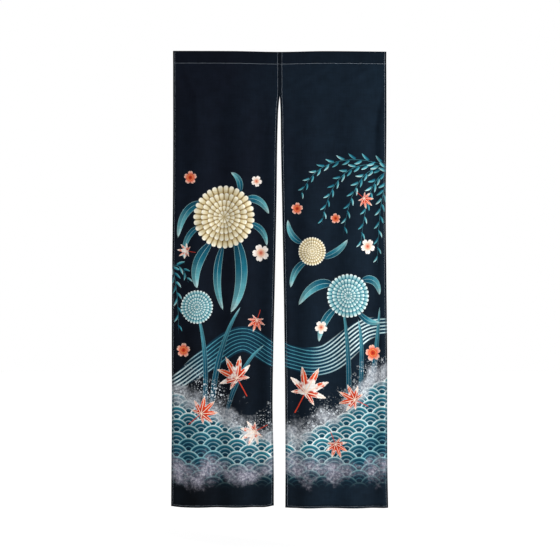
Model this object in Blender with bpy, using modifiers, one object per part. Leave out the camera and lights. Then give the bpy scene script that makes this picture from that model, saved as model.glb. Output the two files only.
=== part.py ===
"""A two-panel noren door curtain, hanging from its rod pocket.

Metres, +Z up, front towards -Y. The origin is the middle of the rod pocket, on the axis of a thin rod in it.
Each side is cut as one hemmed panel whose top turns back into the pocket. The two are seamed together along
the middle from the top edge down to the head of the slit.
"""

import math
from collections import namedtuple

import bmesh
import bpy

# Sewn sizes
PANEL_WIDTH = 0.421
CURTAIN_LENGTH = 1.800
POCKET_DEPTH = 0.0475
HEM_WIDTH = 0.0085
HEM_STEP = 0.0012
PIECE_GAP = 0.0003

# Cloth thicknesses: one layer of the field, and the turned layers of a hem
FIELD_THICK = 0.0014
HEM_THICK = 0.0026
POCKET_WALL = 0.0012

# Rod pocket: round over the rod, then two walls drawn together down to the stitch line
POCKET_RADIUS = 0.008
POCKET_FOOT = 0.0006
ARC_STEPS = 8
TOP_EDGE = POCKET_RADIUS + POCKET_WALL

# The seam and the folds
SLIT_HEAD = 0.175
SEAM_HOLD_REACH = 0.070
SEAM_HOLD_FADE = 0.320
STITCH_TAKE_UP = 0.0004
STITCH_HOLD_FADE = 0.160
FOLDS_AT_STITCHES = 0.04
CORNER_REACH = 0.028
CORNER_LIFT_POWER = 8

# How finely the cloth is drawn
FIELD_COLUMNS = 22
PANEL_ROWS = 32
POCKET_COLUMNS = 14

SHARP_ANGLE = math.radians(40)
CLOTH_COLOUR = "1B2531"
HEADING_COLOUR = "171E29"

EdgeRow = namedtuple("EdgeRow", "drop outer inner")
DipRow = namedtuple("DipRow", "x dip")
Fold = namedtuple("Fold", "at_top at_bottom height half_width")
Panel = namedtuple("Panel", "name side edges folds corner_rise length")

# Distance of each panel's outer edge and slit edge from the middle line, by the drop below the top edge
LEFT_EDGES = (
    EdgeRow(drop=0.000, outer=0.4206, inner=PIECE_GAP / 2),
    EdgeRow(drop=0.140, outer=0.4207, inner=PIECE_GAP / 2),
    EdgeRow(drop=0.175, outer=0.4207, inner=PIECE_GAP / 2),
    EdgeRow(drop=0.205, outer=0.4208, inner=0.0040),
    EdgeRow(drop=0.241, outer=0.4208, inner=0.0068),
    EdgeRow(drop=0.370, outer=0.4210, inner=0.0103),
    EdgeRow(drop=0.590, outer=0.4219, inner=0.0131),
    EdgeRow(drop=0.905, outer=0.4252, inner=0.0194),
    EdgeRow(drop=1.160, outer=0.4264, inner=0.0252),
    EdgeRow(drop=1.400, outer=0.4260, inner=0.0284),
    EdgeRow(drop=1.630, outer=0.4278, inner=0.0240),
    EdgeRow(drop=1.800, outer=0.4290, inner=0.0237),
)
RIGHT_EDGES = (
    EdgeRow(drop=0.000, outer=0.4195, inner=PIECE_GAP / 2),
    EdgeRow(drop=0.140, outer=0.4203, inner=PIECE_GAP / 2),
    EdgeRow(drop=0.175, outer=0.4204, inner=PIECE_GAP / 2),
    EdgeRow(drop=0.205, outer=0.4205, inner=0.0018),
    EdgeRow(drop=0.241, outer=0.4205, inner=0.0033),
    EdgeRow(drop=0.370, outer=0.4199, inner=0.0046),
    EdgeRow(drop=0.590, outer=0.4180, inner=0.0088),
    EdgeRow(drop=0.905, outer=0.4205, inner=0.0150),
    EdgeRow(drop=1.160, outer=0.4232, inner=0.0188),
    EdgeRow(drop=1.400, outer=0.4235, inner=0.0211),
    EdgeRow(drop=1.630, outer=0.4243, inner=0.0222),
    EdgeRow(drop=1.800, outer=0.4272, inner=0.0216),
)

# How far the top edge dips below its highest point
TOP_DIPS = (
    DipRow(x=-0.425, dip=0.0000),
    DipRow(x=-0.180, dip=0.0008),
    DipRow(x=0.000, dip=0.0041),
    DipRow(x=0.180, dip=0.0010),
    DipRow(x=0.425, dip=0.0032),
)

# Long folds that run down each panel. The places are across the cloth from the outer edge, and the heights
# are relative, forward above zero. The spare width of each row sets how deep they really are. The narrow
# folds at both ends of a table are the side hems, which turn back a little.
LEFT_FOLDS = (
    Fold(at_top=0.000, at_bottom=0.000, height=-0.60, half_width=0.013),
    Fold(at_top=0.034, at_bottom=0.030, height=-0.30, half_width=0.034),
    Fold(at_top=0.101, at_bottom=0.112, height=1.00, half_width=0.050),
    Fold(at_top=0.178, at_bottom=0.192, height=-0.60, half_width=0.044),
    Fold(at_top=0.276, at_bottom=0.262, height=0.95, half_width=0.052),
    Fold(at_top=0.354, at_bottom=0.342, height=-0.75, half_width=0.036),
    Fold(at_top=0.420, at_bottom=0.415, height=0.45, half_width=0.032),
    Fold(at_top=0.421, at_bottom=0.421, height=-0.60, half_width=0.013),
)
RIGHT_FOLDS = (
    Fold(at_top=0.000, at_bottom=0.000, height=-0.60, half_width=0.013),
    Fold(at_top=0.000, at_bottom=0.004, height=0.45, half_width=0.026),
    Fold(at_top=0.044, at_bottom=0.064, height=-0.80, half_width=0.034),
    Fold(at_top=0.126, at_bottom=0.146, height=0.85, half_width=0.052),
    Fold(at_top=0.214, at_bottom=0.236, height=-0.50, half_width=0.050),
    Fold(at_top=0.302, at_bottom=0.320, height=0.80, half_width=0.050),
    Fold(at_top=0.374, at_bottom=0.388, height=-0.55, half_width=0.032),
    Fold(at_top=0.421, at_bottom=0.421, height=-0.50, half_width=0.013),
)

LEFT = Panel("left", -1, LEFT_EDGES, LEFT_FOLDS, corner_rise=(0.004, 0.007), length=CURTAIN_LENGTH)
RIGHT = Panel("right", 1, RIGHT_EDGES, RIGHT_FOLDS, corner_rise=(0.001, 0.001), length=CURTAIN_LENGTH + 0.003)


def clear_scene():
    for old in list(bpy.data.objects):
        bpy.data.objects.remove(old)


def linear_colour(hex_colour):
    """An sRGB hex colour as the linear red, green, blue and alpha of a shader."""
    channels = [int(hex_colour[i : i + 2], 16) / 255 for i in (0, 2, 4)]
    linear = [c / 12.92 if c <= 0.04045 else ((c + 0.055) / 1.055) ** 2.4 for c in channels]
    return (*linear, 1.0)


def cloth_material(name, hex_colour):
    material = bpy.data.materials.new(name)
    material.use_nodes = True
    shader = material.node_tree.nodes["Principled BSDF"]
    shader.inputs["Base Color"].default_value = linear_colour(hex_colour)
    shader.inputs["Roughness"].default_value = 0.82
    shader.inputs["Metallic"].default_value = 0.0
    return material


def ease(share):
    """0 to 1 with a smooth start and end."""
    share = min(max(share, 0.0), 1.0)
    return share * share * (3 - 2 * share)


def bell(distance, half_width):
    return math.exp(-((distance / half_width) ** 2))


def read_table(rows, at):
    """A row's value columns at this place in its first column, along a smooth line through the rows."""
    places = [row[0] for row in rows]
    at = min(max(at, places[0]), places[-1])
    k = max(i for i in range(len(rows) - 1) if places[i] <= at)
    step = places[k + 1] - places[k]
    t = (at - places[k]) / step

    def slope(i, column):
        low, high = max(i - 1, 0), min(i + 1, len(rows) - 1)
        before, here, after = (rows[j][column] for j in (low, i, high))
        turns_or_rests = low < i < high and (here - before) * (after - here) <= 0
        return 0.0 if turns_or_rests else (after - before) / (places[high] - places[low])

    values = []
    for column in range(1, len(rows[0])):
        start, end = rows[k][column], rows[k + 1][column]
        enter, leave = slope(k, column) * step, slope(k + 1, column) * step
        values.append(
            start * (2 * t**3 - 3 * t**2 + 1)
            + enter * (t**3 - 2 * t**2 + t)
            + end * (3 * t**2 - 2 * t**3)
            + leave * (t**3 - t**2)
        )
    return values


def top_dip(x):
    return read_table(TOP_DIPS, x)[0]


def raw_fold(panel, across, drop):
    """The folds' relative height, with the seam edge held flat above the slit."""
    share = drop / CURTAIN_LENGTH

    def all_folds(place):
        total = 0.0
        for fold in panel.folds:
            centre = fold.at_top + (fold.at_bottom - fold.at_top) * share
            total += fold.height * bell(place - centre, fold.half_width)
        return total

    hold = 1 - ease((drop - SLIT_HEAD) / SEAM_HOLD_FADE)
    held = hold * bell(PANEL_WIDTH - across, SEAM_HOLD_REACH)
    return all_folds(across) * (1 - held)


def panel_row(panel, places, drop):
    """Each column's distance from the middle line and its height forward, on the row at this drop."""
    outer, inner = read_table(panel.edges, drop)
    heights = [raw_fold(panel, across, drop) for across in places]
    steps = [(b - a, hb - ha) for a, b, ha, hb in zip(places, places[1:], heights, heights[1:])]
    unit_take_up = sum(rise * rise / (2 * run) for run, rise in steps)
    freed = ease((drop - POCKET_DEPTH) / STITCH_HOLD_FADE)
    spare = max(PANEL_WIDTH - (outer - inner) - STITCH_TAKE_UP * (1 - freed), 0.0)
    depth = math.sqrt(spare / unit_take_up) * (FOLDS_AT_STITCHES + (1 - FOLDS_AT_STITCHES) * freed)
    widths = [math.sqrt(run * run - (depth * rise) ** 2) for run, rise in steps]
    scale = (outer - inner) / sum(widths)
    distances = [outer]
    for width in widths:
        distances.append(distances[-1] - width * scale)
    return [(distance, depth * height) for distance, height in zip(distances, heights)]


def panel_columns():
    """Places across a panel from its outer edge, with the edge of each hem's turned layers marked."""
    field = PANEL_WIDTH - 2 * (HEM_WIDTH + HEM_STEP)
    inside = [HEM_WIDTH + HEM_STEP + field * i / FIELD_COLUMNS for i in range(FIELD_COLUMNS + 1)]
    return [0.0, HEM_WIDTH, *inside, PANEL_WIDTH - HEM_WIDTH, PANEL_WIDTH]


def panel_drops(length):
    """Drops of the rows below the top edge, from the stitch line to the bottom hem."""
    start = POCKET_DEPTH + PIECE_GAP
    field_end = length - HEM_WIDTH - HEM_STEP
    rows = [start + (field_end - start) * i / PANEL_ROWS for i in range(PANEL_ROWS + 1)]
    return [*rows, length - HEM_WIDTH, length]


def make_panel(panel, collection):
    """One hemmed panel below the stitch line: a folded sheet whose turned hems stand out at the back."""
    places = panel_columns()
    drops = panel_drops(panel.length)
    rows = [panel_row(panel, places, drop) for drop in drops]
    shape = bmesh.new()
    bmesh.ops.create_grid(shape, x_segments=len(places) - 1, y_segments=len(drops) - 1, size=0.5)
    weight_layer = shape.verts.layers.deform.verify()
    for vertex in shape.verts:
        column = round((vertex.co.x + 0.5) * (len(places) - 1))
        row = round((0.5 - vertex.co.y) * (len(drops) - 1))
        distance, height = rows[row][column]
        across, drop = places[column], drops[row]
        hang = (drop - POCKET_DEPTH) / (panel.length - POCKET_DEPTH)
        rise = sum(
            corner * bell(reach, CORNER_REACH)
            for corner, reach in zip(panel.corner_rise, (across, PANEL_WIDTH - across))
        )
        dip = top_dip(panel.side * distance) * (1 - hang)
        lift = rise * hang**CORNER_LIFT_POWER
        on_hem = column <= 1 or column >= len(places) - 2 or row >= len(drops) - 2
        vertex[weight_layer][0] = 1.0 if on_hem else 0.0
        vertex.co = (panel.side * distance, -height - FIELD_THICK / 2, TOP_EDGE - drop - dip + lift)
    bmesh.ops.recalc_face_normals(shape, faces=shape.faces)
    if shape.faces[0].normal.y > 0:
        bmesh.ops.reverse_faces(shape, faces=shape.faces)
    mesh = bpy.data.meshes.new(panel.name + "_panel")
    shape.to_mesh(mesh)
    shape.free()
    cloth = bpy.data.objects.new(panel.name + "_panel", mesh)
    cloth.vertex_groups.new(name="turned hems")
    collection.objects.link(cloth)
    layers = cloth.modifiers.new("Cloth thickness", "SOLIDIFY")
    layers.thickness = HEM_THICK
    layers.offset = -1.0
    layers.vertex_group = "turned hems"
    layers.thickness_vertex_group = FIELD_THICK / HEM_THICK
    return cloth


def pocket_profile():
    """The inside of the rod pocket in section, from the foot of the front wall over the top to the back."""
    foot_drop = POCKET_DEPTH - 2 * POCKET_WALL - POCKET_RADIUS
    lean = math.asin((POCKET_RADIUS - POCKET_FOOT) / foot_drop)
    points = [(-POCKET_FOOT, -foot_drop)]
    for i in range(ARC_STEPS + 1):
        angle = -lean + (math.pi + 2 * lean) * i / ARC_STEPS
        points.append((-POCKET_RADIUS * math.cos(angle), POCKET_RADIUS * math.sin(angle)))
    points.append((POCKET_FOOT, -foot_drop))
    return points


def make_heading(panel, collection):
    """The panel's top turned back as a sleeve for the rod, open at its outer end and at the seam."""
    outer, inner = read_table(panel.edges, 0.0)
    shape = bmesh.new()
    ring = [shape.verts.new((panel.side * outer, y, z)) for y, z in pocket_profile()]
    edges = [shape.edges.new((a, b)) for a, b in zip(ring, ring[1:] + ring[:1])]
    step = (inner - outer) / POCKET_COLUMNS
    for _ in range(POCKET_COLUMNS):
        grown = bmesh.ops.extrude_edge_only(shape, edges=edges)["geom"]
        moved = [item for item in grown if isinstance(item, bmesh.types.BMVert)]
        edges = [item for item in grown if isinstance(item, bmesh.types.BMEdge)]
        bmesh.ops.translate(shape, verts=moved, vec=(panel.side * step, 0, 0))
    for vertex in shape.verts:
        vertex.co.z -= top_dip(vertex.co.x)
    bmesh.ops.recalc_face_normals(shape, faces=shape.faces)
    highest = max(shape.faces, key=lambda face: face.calc_center_median().z)
    if highest.normal.z < 0:
        bmesh.ops.reverse_faces(shape, faces=shape.faces)
    mesh = bpy.data.meshes.new(panel.name + "_heading")
    shape.to_mesh(mesh)
    shape.free()
    sleeve = bpy.data.objects.new(panel.name + "_heading", mesh)
    collection.objects.link(sleeve)
    wall = sleeve.modifiers.new("Cloth thickness", "SOLIDIFY")
    wall.thickness = POCKET_WALL
    wall.offset = 1.0
    return sleeve


def finish_piece(piece, material):
    piece.data.materials.append(material)
    piece.data.shade_smooth()
    piece.data.set_sharp_from_angle(angle=SHARP_ANGLE)


def main():
    clear_scene()
    curtain = bpy.data.collections.new("noren curtain")
    bpy.context.scene.collection.children.link(curtain)
    panel_cloth = cloth_material("navy polyester cloth", CLOTH_COLOUR)
    heading_cloth = cloth_material("navy polyester heading", HEADING_COLOUR)
    for panel in (LEFT, RIGHT):
        finish_piece(make_panel(panel, curtain), panel_cloth)
        finish_piece(make_heading(panel, curtain), heading_cloth)


main()
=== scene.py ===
"""Looks for a two-panel noren door curtain of printed polyester.

Each side is one sheet of cloth: hemmed at both sides and at the bottom, turned over at the top into the
rod pocket, and hung in the folds of its solid. The print and the weave follow the flat cloth. All sizes
are metres.
"""

import math
from collections import namedtuple
from functools import partial

import bmesh
import bpy
import numpy as np
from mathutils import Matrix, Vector, noise


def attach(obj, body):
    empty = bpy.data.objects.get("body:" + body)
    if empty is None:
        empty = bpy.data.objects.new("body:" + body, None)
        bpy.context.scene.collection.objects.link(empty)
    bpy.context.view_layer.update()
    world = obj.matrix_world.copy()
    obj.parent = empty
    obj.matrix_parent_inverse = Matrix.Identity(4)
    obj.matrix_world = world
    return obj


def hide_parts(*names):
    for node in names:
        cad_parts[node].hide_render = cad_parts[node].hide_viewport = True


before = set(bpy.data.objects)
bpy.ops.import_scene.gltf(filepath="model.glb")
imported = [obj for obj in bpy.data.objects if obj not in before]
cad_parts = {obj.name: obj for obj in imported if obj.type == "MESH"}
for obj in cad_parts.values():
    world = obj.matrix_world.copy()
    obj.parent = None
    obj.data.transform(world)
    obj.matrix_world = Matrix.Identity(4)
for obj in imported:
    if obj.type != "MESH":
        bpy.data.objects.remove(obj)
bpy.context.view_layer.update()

# Sewn sizes, as in the solids
PANEL_WIDTH = 0.421
CURTAIN_LENGTH = 1.800
POCKET_DEPTH = 0.0475
SEAM = 0.0003 / 2
TOP_EDGE = 0.0092
SOLID_FACE = 0.0007

# Cloth: its thickness, how far apart the middles of two turned layers lie, and how far forward its middle is
# set so that its face lies on the solid's. A stack of turned layers thins out over the hem's room
CLOTH_THICK = 0.0005
LAYER_STEP = 0.0009
HEM_TURN = 0.0100
FRONT_SET = SOLID_FACE - CLOTH_THICK / 2
HEM_ROOM = 0.0060

# The rod pocket in section, measured to the middle of the cloth
POCKET_RADIUS = TOP_EDGE - CLOTH_THICK / 2
POCKET_FRONT_FOOT = 0.00155
POCKET_BACK_FOOT = 0.00095
POCKET_FLAP = 0.0030
POCKET_BLEND = 0.0100

# The seam and the folds, as in the solids
SLIT_HEAD = 0.175
SEAM_HOLD_REACH = 0.070
SEAM_HOLD_FADE = 0.320
STITCH_TAKE_UP = 0.0004
STITCH_HOLD_FADE = 0.160
FOLDS_AT_STITCHES = 0.04
LEAST_RUN = 0.04
CORNER_REACH = 0.028
CORNER_LIFT_POWER = 8

# How finely the cloth is drawn, and how far behind the front layer a cut edge lies, in layer steps
FIELD_COLUMNS = 84
PANEL_ROWS = 296
FIRST_ROW = 0.0015
WALL_ROWS = 8
ARC_ROWS = 10
TURN_STEPS = 4
HEM_STEPS = (0.0022, 0.0048, 0.0072, 0.0094)
HEM_CUT_EDGE = 0.65
FLAP_CUT_EDGE = 0.35
SHARP_ANGLE = math.radians(75)

# Sewing: one stitch is a lens of thread on the cloth, about twice as wide as real thread so that it shows.
# Each line's distance is from the finished edge
STITCH_PITCH = 0.0034
STITCH_LONG = 0.0031
STITCH_WIDE = 0.00075
STITCH_HIGH = 0.00050
STITCH_PROUD = 0.2
HEM_LINE = 0.0072
SEAM_LINE = 0.0083
BOTTOM_LINE = 0.0070
POCKET_LINE = -POCKET_DEPTH - 0.0010
LINE_END = 0.001
OVER_THE_TOP = 0.050

# Small relief: creases, pucker at the hems and under the pocket line, and the cloth's unevenness, which is
# given by height, size across and down, and layer of noise
CREASE_RUN_ON = 0.4
CREASE_FADE = 0.6
RELIEF_FADE = 0.012
PUCKER_INSIDE = 0.012
HEM_PUCKER = 0.00045
HEM_PUCKER_REACH = 0.009
HEM_PUCKER_SIZE = 0.011
POCKET_PUCKER = 0.00060
POCKET_PUCKER_REACH = 0.018
POCKET_PUCKER_SIZE = (0.014, 0.060)
UNEVEN = ((0.00120, (0.085, 0.150), 1.0), (0.00040, (0.028, 0.052), 2.0))

# The columns of the tables below
EdgeRow = namedtuple("EdgeRow", "drop outer inner")
DipRow = namedtuple("DipRow", "x dip")
Fold = namedtuple("Fold", "at_top at_bottom height half_width")
Crease = namedtuple("Crease", "x1 drop1 x2 drop2 height half_width")
Panel = namedtuple("Panel", "name side edges folds creases corner_rise length")
Disc = namedtuple("Disc", "x drop radius turn tint")
Blade = namedtuple("Blade", "x1 drop1 x2 drop2 x3 drop3 width")
StreamRow = namedtuple("StreamRow", "x drop half_width")
Strand = namedtuple("Strand", "x1 drop1 x2 drop2 x3 drop3 leaves")
PetalRing = namedtuple("PetalRing", "petals size tip_drop turn")

# What the functions work out
Column = namedtuple("Column", "across behind flat")
Row = namedtuple("Row", "drop behind flat")
Hung = namedtuple("Hung", "across front grid outward flats flat_x")
SeamLine = namedtuple("SeamLine", "across1 flat1 across2 flat2 behind")

# Distance of each panel's outer edge and slit edge from the middle line, by the drop below the top edge
LEFT_EDGES = (
    EdgeRow(0.000, 0.4206, SEAM),
    EdgeRow(0.140, 0.4207, SEAM),
    EdgeRow(0.175, 0.4207, SEAM),
    EdgeRow(0.183, 0.4207, 0.0018),
    EdgeRow(0.205, 0.4208, 0.0040),
    EdgeRow(0.241, 0.4208, 0.0068),
    EdgeRow(0.370, 0.4210, 0.0103),
    EdgeRow(0.590, 0.4219, 0.0131),
    EdgeRow(0.905, 0.4252, 0.0194),
    EdgeRow(1.160, 0.4264, 0.0252),
    EdgeRow(1.400, 0.4260, 0.0284),
    EdgeRow(1.630, 0.4278, 0.0240),
    EdgeRow(1.800, 0.4290, 0.0237),
)
RIGHT_EDGES = (
    EdgeRow(0.000, 0.4195, SEAM),
    EdgeRow(0.140, 0.4203, SEAM),
    EdgeRow(0.175, 0.4204, SEAM),
    EdgeRow(0.183, 0.4204, 0.0007),
    EdgeRow(0.205, 0.4205, 0.0018),
    EdgeRow(0.241, 0.4205, 0.0033),
    EdgeRow(0.370, 0.4199, 0.0046),
    EdgeRow(0.590, 0.4180, 0.0088),
    EdgeRow(0.905, 0.4205, 0.0150),
    EdgeRow(1.160, 0.4232, 0.0188),
    EdgeRow(1.400, 0.4235, 0.0211),
    EdgeRow(1.630, 0.4243, 0.0222),
    EdgeRow(1.800, 0.4272, 0.0216),
)

# How far the top edge dips below its highest point
TOP_DIPS = (
    DipRow(-0.425, 0.0000),
    DipRow(-0.180, 0.0008),
    DipRow(0.000, 0.0041),
    DipRow(0.180, 0.0010),
    DipRow(0.425, 0.0032),
)

# Long folds down each panel, by their place across the cloth from the outer edge
LEFT_FOLDS = (
    Fold(0.000, 0.000, -0.60, 0.013),
    Fold(0.034, 0.030, -0.30, 0.034),
    Fold(0.101, 0.112, 1.00, 0.050),
    Fold(0.178, 0.192, -0.60, 0.044),
    Fold(0.276, 0.262, 0.95, 0.052),
    Fold(0.354, 0.342, -0.75, 0.036),
    Fold(0.420, 0.415, 0.45, 0.032),
    Fold(0.421, 0.421, -0.60, 0.013),
)
RIGHT_FOLDS = (
    Fold(0.000, 0.000, -0.60, 0.013),
    Fold(0.000, 0.004, 0.45, 0.026),
    Fold(0.044, 0.064, -0.80, 0.034),
    Fold(0.126, 0.146, 0.85, 0.052),
    Fold(0.214, 0.236, -0.50, 0.050),
    Fold(0.302, 0.320, 0.80, 0.050),
    Fold(0.374, 0.388, -0.55, 0.032),
    Fold(0.421, 0.421, -0.50, 0.013),
)

# Drag lines and soft creases, from point to point on the hung cloth, as ridges above zero or troughs below it
LEFT_CREASES = (
    Crease(-0.384, 0.066, -0.330, 0.176, 0.0024, 0.011),
    Crease(-0.402, 0.082, -0.352, 0.200, -0.0020, 0.010),
    Crease(-0.330, 0.176, -0.326, 0.330, 0.0022, 0.012),
    Crease(-0.205, 0.106, -0.098, 0.112, 0.0009, 0.008),
    Crease(-0.064, 0.200, -0.046, 0.268, -0.0018, 0.009),
    Crease(-0.046, 0.268, -0.060, 0.345, -0.0014, 0.009),
    Crease(-0.122, 0.262, -0.128, 0.320, 0.0016, 0.016),
    Crease(-0.010, 0.178, -0.052, 0.252, 0.0012, 0.008),
)
RIGHT_CREASES = (
    Crease(0.178, 0.066, 0.034, 0.142, 0.0024, 0.011),
    Crease(0.196, 0.078, 0.060, 0.154, -0.0018, 0.010),
    Crease(0.366, 0.064, 0.248, 0.132, 0.0024, 0.011),
    Crease(0.384, 0.078, 0.290, 0.140, -0.0018, 0.010),
    Crease(0.404, 0.150, 0.374, 0.310, -0.0065, 0.013),
    Crease(0.374, 0.310, 0.376, 0.480, -0.0060, 0.014),
    Crease(0.012, 0.180, 0.050, 0.262, 0.0012, 0.009),
    Crease(0.380, 0.420, 0.388, 0.700, -0.0014, 0.010),
)

LEFT = Panel("left", -1, LEFT_EDGES, LEFT_FOLDS, LEFT_CREASES, (0.004, 0.007), CURTAIN_LENGTH)
RIGHT = Panel("right", 1, RIGHT_EDGES, RIGHT_FOLDS, RIGHT_CREASES, (0.001, 0.001), CURTAIN_LENGTH + 0.003)

# The print. It lies on the flat cloth, at x from the middle seam and drop from the top edge. It is a design
# of traditional motifs: chrysanthemums, plum blossoms, maple leaves on a stream, and wave scales.
MUMS = (
    Disc(-0.212, 0.655, 0.124, 0.10, 0.0),
    Disc(0.262, 0.965, 0.086, 0.60, 1.0),
    Disc(-0.318, 1.010, 0.066, 0.30, 1.0),
    Disc(0.118, 0.790, 0.056, 0.90, 0.0),
)
BLOSSOMS = (
    Disc(-0.350, 0.500, 0.026, 0.3, 0.0),
    Disc(-0.082, 0.512, 0.022, 1.1, 1.0),
    Disc(-0.060, 0.795, 0.034, 0.7, 1.0),
    Disc(0.060, 0.620, 0.024, 0.2, 0.0),
    Disc(0.345, 0.770, 0.030, 2.2, 1.0),
    Disc(0.215, 0.660, 0.020, 1.7, 0.0),
    Disc(-0.372, 1.180, 0.028, 1.5, 0.0),
    Disc(0.362, 1.190, 0.032, 0.5, 0.0),
    Disc(0.150, 1.090, 0.026, 0.9, 1.0),
)
MAPLES = (
    Disc(-0.150, 1.290, 0.098, 2.10, 0.42),
    Disc(0.085, 1.345, 0.112, 1.05, 0.50),
    Disc(-0.300, 1.430, 0.078, 0.70, 0.30),
    Disc(0.285, 1.375, 0.074, 2.70, 0.38),
    Disc(-0.075, 1.500, 0.070, 3.60, 0.60),
    Disc(0.205, 1.550, 0.062, 5.10, 0.35),
    Disc(-0.070, 1.060, 0.050, 4.40, 0.25),
    Disc(0.330, 0.580, 0.046, 5.60, 0.30),
    Disc(-0.360, 0.790, 0.042, 3.00, 0.55),
)
LEAF_BLADES = (
    Blade(-0.165, 0.735, -0.105, 0.900, -0.178, 1.030, 0.052),
    Blade(-0.262, 0.755, -0.345, 0.840, -0.318, 0.935, 0.044),
    Blade(-0.215, 0.765, -0.260, 0.900, -0.212, 1.020, 0.034),
    Blade(-0.300, 0.600, -0.385, 0.610, -0.398, 0.735, 0.036),
    Blade(-0.305, 0.690, -0.375, 0.720, -0.375, 0.815, 0.026),
    Blade(-0.130, 0.590, -0.070, 0.560, -0.030, 0.640, 0.034),
    Blade(-0.110, 0.680, -0.045, 0.690, -0.036, 0.765, 0.028),
    Blade(-0.150, 0.560, -0.140, 0.500, -0.185, 0.480, 0.026),
    Blade(0.200, 0.920, 0.120, 0.900, 0.060, 1.000, 0.042),
    Blade(0.215, 1.010, 0.150, 1.060, 0.140, 1.145, 0.034),
    Blade(0.315, 0.905, 0.385, 0.880, 0.392, 0.960, 0.034),
    Blade(0.300, 1.030, 0.345, 1.080, 0.392, 1.070, 0.028),
    Blade(0.160, 0.815, 0.225, 0.800, 0.262, 0.745, 0.030),
    Blade(0.080, 0.755, 0.025, 0.740, 0.022, 0.665, 0.028),
    Blade(0.095, 0.830, 0.040, 0.850, 0.028, 0.930, 0.030),
)
REED_BLADES = (
    Blade(-0.300, 1.500, -0.255, 1.240, -0.316, 1.030, 0.022),
    Blade(-0.255, 1.500, -0.260, 1.200, -0.140, 1.010, 0.024),
    Blade(-0.210, 1.500, -0.160, 1.250, -0.040, 1.160, 0.020),
    Blade(0.250, 1.500, 0.275, 1.250, 0.240, 1.010, 0.022),
    Blade(0.290, 1.500, 0.330, 1.180, 0.300, 1.060, 0.020),
    Blade(0.330, 1.500, 0.375, 1.220, 0.392, 1.010, 0.022),
)
STREAM = (
    StreamRow(0.470, 1.080, 0.020),
    StreamRow(0.330, 1.100, 0.046),
    StreamRow(0.170, 1.215, 0.060),
    StreamRow(0.020, 1.205, 0.048),
    StreamRow(-0.130, 1.135, 0.052),
    StreamRow(-0.270, 1.215, 0.050),
    StreamRow(-0.400, 1.305, 0.030),
    StreamRow(-0.470, 1.330, 0.020),
)
WILLOW = (
    Strand(0.440, 0.452, 0.150, 0.370, 0.074, 0.575, 19),
    Strand(0.440, 0.460, 0.210, 0.390, 0.158, 0.690, 20),
    Strand(0.440, 0.466, 0.290, 0.420, 0.246, 0.728, 17),
    Strand(0.440, 0.474, 0.345, 0.470, 0.312, 0.790, 16),
    Strand(0.440, 0.500, 0.395, 0.520, 0.384, 0.850, 16),
    Strand(-0.440, 0.840, -0.395, 0.850, -0.392, 1.120, 13),
    Strand(-0.440, 0.850, -0.378, 0.825, -0.352, 0.915, 7),
)

# Willow leaves get smaller down their strand, and each stands off it by a share of its own size
WILLOW_LEAF = 0.023
LEAF_AT_ROOT = 1.12
LEAF_LOSS = 0.45
LEAF_STAND = 0.96
LEAF_TINT_STEP = 0.37
WILLOW_SPREAD = 0.55
WILLOW_STEM = 0.0012
LEAF_ROOM = 0.0165

# How far round a motif its marks reach, what marks cloth off every motif, and how blades narrow to their tips
OFF_MOTIF = 9.0
DISC_REACH = 1.25
BLADE_STEPS = 24
BLADE_MARGIN = 0.012
BLADE_AT_ROOT = 1.1
BLADE_LOSS = 0.4
BLADE_RIB = 0.0007
BLADE_RIM = 0.0012
STREAM_STEPS = 12
STREAM_LINE = 0.0135

# Petal rings of a chrysanthemum from the outside in, sized in its radius
MUM_RINGS = (
    PetalRing(31, 1.00, 0.10, 0.00),
    PetalRing(26, 0.76, 0.10, 0.35),
    PetalRing(21, 0.54, 0.11, 0.10),
    PetalRing(15, 0.35, 0.13, 0.45),
    PetalRing(9, 0.19, 0.16, 0.20),
)
MUM_CREAM = ((0.0, "3B2E1C"), (0.28, "8B7245"), (0.52, "D3C193"), (0.80, "EFE6C9"), (1.0, "FBF6E6"))
MUM_BLUE = ((0.0, "0B2536"), (0.28, "23667A"), (0.52, "69AAB3"), (0.80, "B9D9D9"), (1.0, "EEF7F5"))
BLOSSOM_RED = ((0.0, "7E1F16"), (0.18, "C83A22"), (0.55, "E8684A"), (1.0, "F9D3BF"))
BLOSSOM_WHITE = ((0.0, "B5412C"), (0.18, "E58A6C"), (0.50, "F3DED2"), (1.0, "FAF7F2"))

# A maple leaf's reach and the angle to its nearest vein, by the angle from its tip as a share of half a turn
MAPLE_EDGE = (
    (0.00, 1.00), (0.075, 0.52), (0.115, 0.44), (0.21, 0.94), (0.285, 0.48), (0.325, 0.38),
    (0.425, 0.80), (0.50, 0.38), (0.55, 0.28), (0.655, 0.56), (0.74, 0.24), (0.86, 0.16), (1.00, 0.10),
)
MAPLE_VEINS = (
    (0.00, 0.00), (0.105, 0.105), (0.21, 0.00), (0.3175, 0.1075), (0.425, 0.00), (0.54, 0.115),
    (0.655, 0.00), (0.80, 0.145), (1.00, 0.30),
)
MAPLE_RED = ((0.0, "8E1F12"), (0.25, "C93A1E"), (0.60, "E5552F"), (1.0, "F28F5E"))
LEAF_COLOURS = ((0.0, "0E3A50"), (0.40, "1F6C80"), (0.80, "6DB6BE"), (1.0, "C4E3E2"))
REED_COLOURS = ((0.0, "0D2F45"), (0.55, "19586E"), (0.90, "4E9AA8"), (1.0, "9FCBD0"))
WILLOW_COLOURS = ((0.0, "0F4157"), (0.35, "1F6F83"), (0.70, "63AEB7"), (1.0, "D4ECEA"))

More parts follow.
